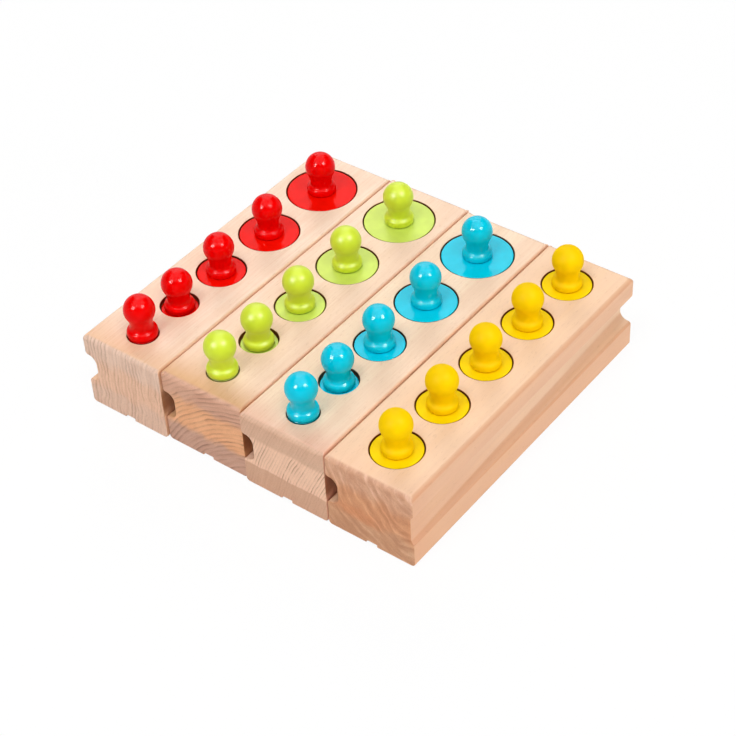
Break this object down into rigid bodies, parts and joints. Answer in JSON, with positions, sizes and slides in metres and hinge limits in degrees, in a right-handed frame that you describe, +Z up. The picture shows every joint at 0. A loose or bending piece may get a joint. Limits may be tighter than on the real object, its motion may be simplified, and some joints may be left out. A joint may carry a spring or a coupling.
{
  "type": "knobbed cylinder block set",
  "caption": "Grooved wooden blocks side by side, with painted cylinders in blind sockets; each lifts out by the turned ball knob on its top, for a child's sorting and grip practice.",
  "frame": {"origin": "the middle of the set's underside, on the surface that it stands on", "axes": "+X across the blocks from the red one to the yellow one, +Y along the blocks from the end with the smallest graded cylinders to the end with the largest, +Z up"},
  "size_m": [0.16, 0.151, 0.0536],
  "materials": {
    "beech_wood": "pale natural wood, sanded and lightly sealed, satin, with end grain on the short faces",
    "red_paint": "glossy red lacquer on turned wood",
    "green_paint": "satin lime green lacquer on turned wood",
    "blue_paint": "glossy sky blue lacquer on turned wood",
    "yellow_paint": "satin yellow lacquer on turned wood"
  },
  "bodies": {
    "red_block": {"red_block": "beech_wood"},
    "green_block": {"green_block": "beech_wood"},
    "blue_block": {"blue_block": "beech_wood"},
    "yellow_block": {"yellow_block": "beech_wood"},
    "red_peg_1": {"red_cylinder_1": "red_paint", "red_knob_1": "red_paint"},
    "red_peg_2": {"red_cylinder_2": "red_paint", "red_knob_2": "red_paint"},
    "red_peg_3": {"red_cylinder_3": "red_paint", "red_knob_3": "red_paint"},
    "red_peg_4": {"red_cylinder_4": "red_paint", "red_knob_4": "red_paint"},
    "red_peg_5": {"red_cylinder_5": "red_paint", "red_knob_5": "red_paint"},
    "green_peg_1": {"green_cylinder_1": "green_paint", "green_knob_1": "green_paint"},
    "green_peg_2": {"green_cylinder_2": "green_paint", "green_knob_2": "green_paint"},
    "green_peg_3": {"green_cylinder_3": "green_paint", "green_knob_3": "green_paint"},
    "green_peg_4": {"green_cylinder_4": "green_paint", "green_knob_4": "green_paint"},
    "green_peg_5": {"green_cylinder_5": "green_paint", "green_knob_5": "green_paint"},
    "blue_peg_1": {"blue_cylinder_1": "blue_paint", "blue_knob_1": "blue_paint"},
    "blue_peg_2": {"blue_cylinder_2": "blue_paint", "blue_knob_2": "blue_paint"},
    "blue_peg_3": {"blue_cylinder_3": "blue_paint", "blue_knob_3": "blue_paint"},
    "blue_peg_4": {"blue_cylinder_4": "blue_paint", "blue_knob_4": "blue_paint"},
    "blue_peg_5": {"blue_cylinder_5": "blue_paint", "blue_knob_5": "blue_paint"},
    "yellow_peg_1": {"yellow_cylinder_1": "yellow_paint", "yellow_knob_1": "yellow_paint"},
    "yellow_peg_2": {"yellow_cylinder_2": "yellow_paint", "yellow_knob_2": "yellow_paint"},
    "yellow_peg_3": {"yellow_cylinder_3": "yellow_paint", "yellow_knob_3": "yellow_paint"},
    "yellow_peg_4": {"yellow_cylinder_4": "yellow_paint", "yellow_knob_4": "yellow_paint"},
    "yellow_peg_5": {"yellow_cylinder_5": "yellow_paint", "yellow_knob_5": "yellow_paint"}
  },
  "joints": [
    {"name": "green_block_slide", "type": "slide", "parent": "red_block", "child": "green_block", "axis": [1, 0, 0], "range_m": [0, 0.06]},
    {"name": "blue_block_slide", "type": "slide", "parent": "green_block", "child": "blue_block", "axis": [1, 0, 0], "range_m": [0, 0.06]},
    {"name": "yellow_block_slide", "type": "slide", "parent": "blue_block", "child": "yellow_block", "axis": [1, 0, 0], "range_m": [0, 0.06]},
    {"name": "red_lift_1", "type": "slide", "parent": "red_block", "child": "red_peg_1", "axis": [0, 0, 1], "range_m": [0, 0.018]},
    {"name": "red_lift_2", "type": "slide", "parent": "red_block", "child": "red_peg_2", "axis": [0, 0, 1], "range_m": [0, 0.0195]},
    {"name": "red_lift_3", "type": "slide", "parent": "red_block", "child": "red_peg_3", "axis": [0, 0, 1], "range_m": [0, 0.019]},
    {"name": "red_lift_4", "type": "slide", "parent": "red_block", "child": "red_peg_4", "axis": [0, 0, 1], "range_m": [0, 0.0195]},
    {"name": "red_lift_5", "type": "slide", "parent": "red_block", "child": "red_peg_5", "axis": [0, 0, 1], "range_m": [0, 0.02]},
    {"name": "green_lift_1", "type": "slide", "parent": "green_block", "child": "green_peg_1", "axis": [0, 0, 1], "range_m": [0, 0.034]},
    {"name": "green_lift_2", "type": "slide", "parent": "green_block", "child": "green_peg_2", "axis": [0, 0, 1], "range_m": [0, 0.0315]},
    {"name": "green_lift_3", "type": "slide", "parent": "green_block", "child": "green_peg_3", "axis": [0, 0, 1], "range_m": [0, 0.027]},
    {"name": "green_lift_4", "type": "slide", "parent": "green_block", "child": "green_peg_4", "axis": [0, 0, 1], "range_m": [0, 0.0235]},
    {"name": "green_lift_5", "type": "slide", "parent": "green_block", "child": "green_peg_5", "axis": [0, 0, 1], "range_m": [0, 0.02]},
    {"name": "blue_lift_1", "type": "slide", "parent": "blue_block", "child": "blue_peg_1", "axis": [0, 0, 1], "range_m": [0, 0.02]},
    {"name": "blue_lift_2", "type": "slide", "parent": "blue_block", "child": "blue_peg_2", "axis": [0, 0, 1], "range_m": [0, 0.021]},
    {"name": "blue_lift_3", "type": "slide", "parent": "blue_block", "child": "blue_peg_3", "axis": [0, 0, 1], "range_m": [0, 0.02]},
    {"name": "blue_lift_4", "type": "slide", "parent": "blue_block", "child": "blue_peg_4", "axis": [0, 0, 1], "range_m": [0, 0.02]},
    {"name": "blue_lift_5", "type": "slide", "parent": "blue_block", "child": "blue_peg_5", "axis": [0, 0, 1], "range_m": [0, 0.02]},
    {"name": "yellow_lift_1", "type": "slide", "parent": "yellow_block", "child": "yellow_peg_1", "axis": [0, 0, 1], "range_m": [0, 0.02]},
    {"name": "yellow_lift_2", "type": "slide", "parent": "yellow_block", "child": "yellow_peg_2", "axis": [0, 0, 1], "range_m": [0, 0.0235]},
    {"name": "yellow_lift_3", "type": "slide", "parent": "yellow_block", "child": "yellow_peg_3", "axis": [0, 0, 1], "range_m": [0, 0.027]},
    {"name": "yellow_lift_4", "type": "slide", "parent": "yellow_block", "child": "yellow_peg_4", "axis": [0, 0, 1], "range_m": [0, 0.0305]},
    {"name": "yellow_lift_5", "type": "slide", "parent": "yellow_block", "child": "yellow_peg_5", "axis": [0, 0, 1], "range_m": [0, 0.034]}
  ]
}
